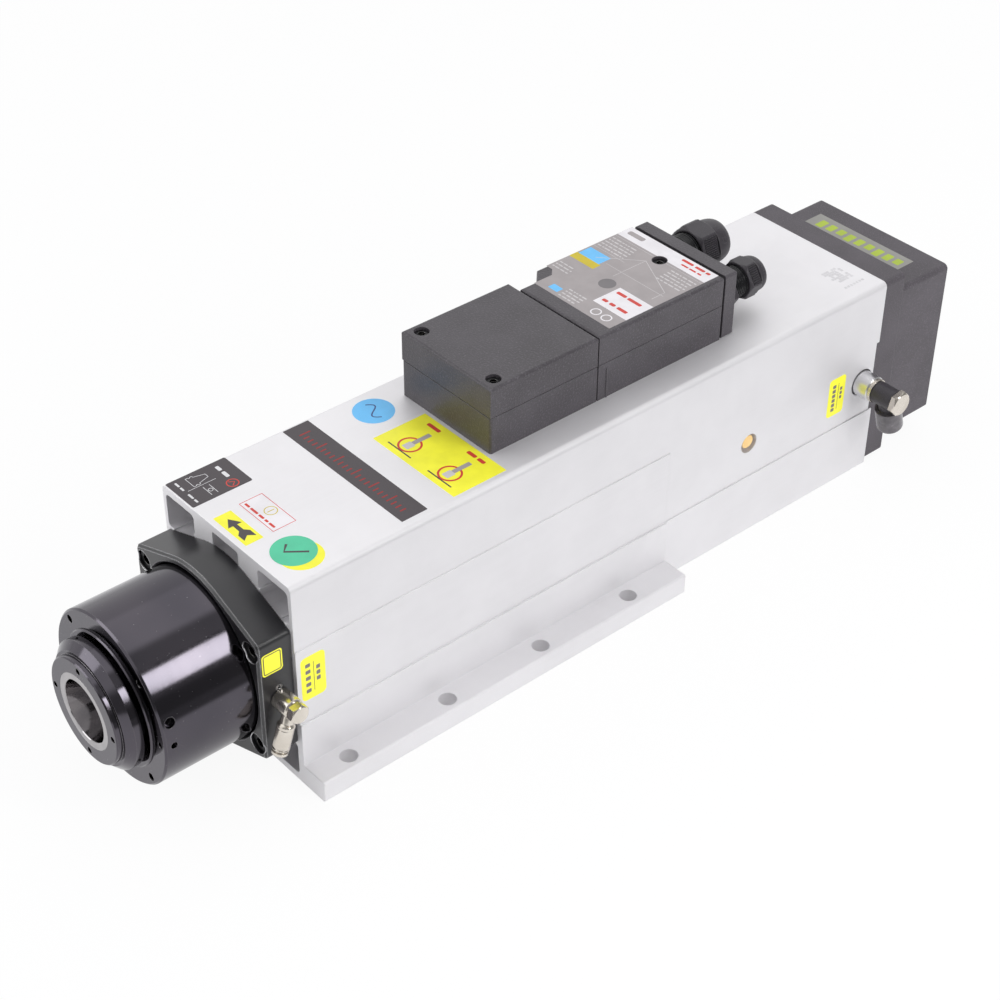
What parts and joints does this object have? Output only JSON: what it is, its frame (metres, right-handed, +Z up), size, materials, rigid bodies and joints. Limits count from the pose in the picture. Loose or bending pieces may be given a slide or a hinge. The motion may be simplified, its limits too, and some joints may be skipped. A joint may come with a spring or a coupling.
{
  "type": "motor spindle",
  "caption": "Air-cooled motor spindle with a steep-taper tool seat, footed square body, connector box, rear fan and push-in air elbows.",
  "frame": {"origin": "centre of the foot hole pattern, on the base's underside", "axes": "+X across, towards the side with the air fittings; +Y along the spindle axis, from the nose to the fan; +Z up from the base"},
  "size_m": [0.1457, 0.5308, 0.155],
  "materials": {
    "body_aluminium": "fine satin anodised",
    "black_anodised": "satin black anodised",
    "black_steel": "turned and black oxided",
    "bright_steel": "ground",
    "bearing_steel": "polished",
    "dark_screws": "black oxide",
    "laminations": "stacked sheet",
    "copper": "varnished wire",
    "machined_aluminium": "machined",
    "box_plastic": "fine grain",
    "cover_plastic": "satin",
    "fan_plastic": "moulded",
    "gland_nylon": "moulded nylon",
    "black_rubber": "moulded",
    "nickel": "nickel plated",
    "plug_brass": "turned",
    "smoke_plastic": "smoke tinted"
  },
  "bodies": {
    "housing": {"body_extrusion": "body_aluminium", "front_flange": "black_anodised", "flange_screws": "dark_screws", "nose_housing": "black_steel", "bearing_cover": "black_steel", "front_outer_rings": "bearing_steel", "rear_outer_ring": "bearing_steel", "rear_bearing_housing": "machined_aluminium", "stator_core": "laminations", "stator_windings": "copper", "cylinder_barrel": "machined_aluminium", "cylinder_cap": "machined_aluminium", "return_spring": "bearing_steel", "position_sensor": "nickel", "rear_cover": "cover_plastic", "cover_screws": "dark_screws", "fan_housing": "cover_plastic", "fan_frame": "fan_plastic", "fan_guard": "fan_plastic", "fan_screws": "dark_screws", "box_base": "box_plastic", "front_lid": "box_plastic", "rear_lid": "box_plastic", "lid_screws": "dark_screws", "end_gasket": "black_rubber", "end_plate": "box_plastic", "terminal_block": "box_plastic", "large_gland_body": "gland_nylon", "large_gland_nut": "gland_nylon", "large_gland_seal": "black_rubber", "small_gland_body": "gland_nylon", "small_gland_nut": "gland_nylon", "small_gland_seal": "black_rubber", "front_port_bolt": "nickel", "port_set_screw": "bearing_steel", "rear_port_sleeve": "machined_aluminium", "rear_port_washer": "nickel", "rear_port_bolt": "nickel", "side_plug": "plug_brass"},
    "rotor": {"shaft": "bright_steel", "labyrinth_nut": "black_steel", "front_inner_rings": "bearing_steel", "rear_inner_ring": "bearing_steel", "rear_lock_nut": "bearing_steel", "rotor_core": "laminations", "disc_springs": "bearing_steel"},
    "front_ball_set": {"front_balls": "bearing_steel"},
    "rear_ball_set": {"rear_balls": "bearing_steel"},
    "clamp": {"drawbar": "bearing_steel", "gripper_fingers": "bearing_steel", "drawbar_nut": "bearing_steel", "target_collar": "bearing_steel"},
    "release_piston": {"piston": "machined_aluminium", "piston_seals": "black_rubber"},
    "fan": {"fan_impeller": "fan_plastic"},
    "front_fitting": {"front_elbow": "nickel"},
    "front_collar": {"front_release_collar": "nickel"},
    "rear_fitting": {"rear_elbow": "gland_nylon", "dust_cap": "smoke_plastic"},
    "rear_collar": {"rear_release_collar": "nickel"}
  },
  "joints": [
    {"name": "shaft_spin", "type": "hinge", "parent": "housing", "child": "rotor", "pos_m": [0, 0, 0.059], "axis": [0, 1, 0], "continuous": true},
    {"name": "front_ball_orbit", "type": "hinge", "parent": "housing", "child": "front_ball_set", "pos_m": [0, 0, 0.059], "axis": [0, 1, 0], "continuous": true},
    {"name": "rear_ball_orbit", "type": "hinge", "parent": "housing", "child": "rear_ball_set", "pos_m": [0, 0, 0.059], "axis": [0, 1, 0], "continuous": true},
    {"name": "clamp_slide", "type": "slide", "parent": "rotor", "child": "clamp", "axis": [0, -1, 0], "range_m": [0, 0.007], "stiffness_N_per_m": 20000, "springref_m": -0.01, "deforming": ["disc_springs"]},
    {"name": "piston_slide", "type": "slide", "parent": "housing", "child": "release_piston", "axis": [0, -1, 0], "range_m": [0, 0.007], "stiffness_N_per_m": 2000, "springref_m": -0.01, "deforming": ["return_spring"]},
    {"name": "fan_spin", "type": "hinge", "parent": "housing", "child": "fan", "pos_m": [0, 0, 0.059], "axis": [0, 1, 0], "continuous": true},
    {"name": "front_elbow_swivel", "type": "hinge", "parent": "housing", "child": "front_fitting", "pos_m": [0, -0.1183, 0.0583], "axis": [1, 0, 0], "continuous": true},
    {"name": "front_collar_press", "type": "slide", "parent": "front_fitting", "child": "front_collar", "axis": [0, 0.3007, 0.9537], "range_m": [0, 0.0009], "stiffness_N_per_m": 500, "springref_m": -0.001},
    {"name": "rear_elbow_swivel", "type": "hinge", "parent": "housing", "child": "rear_fitting", "pos_m": [0, 0.272, 0.059], "axis": [1, 0, 0], "continuous": true},
    {"name": "rear_collar_press", "type": "slide", "parent": "rear_fitting", "child": "rear_collar", "axis": [0, -0.2756, 0.9613], "range_m": [0, 0.0009], "stiffness_N_per_m": 500, "springref_m": -0.001}
  ],
  "couplings": [
    {"joint": "front_ball_orbit", "follows": "shaft_spin", "ratio": 0.43},
    {"joint": "rear_ball_orbit", "follows": "shaft_spin", "ratio": 0.42},
    {"joint": "clamp_slide", "follows": "piston_slide", "ratio": 1}
  ]
}
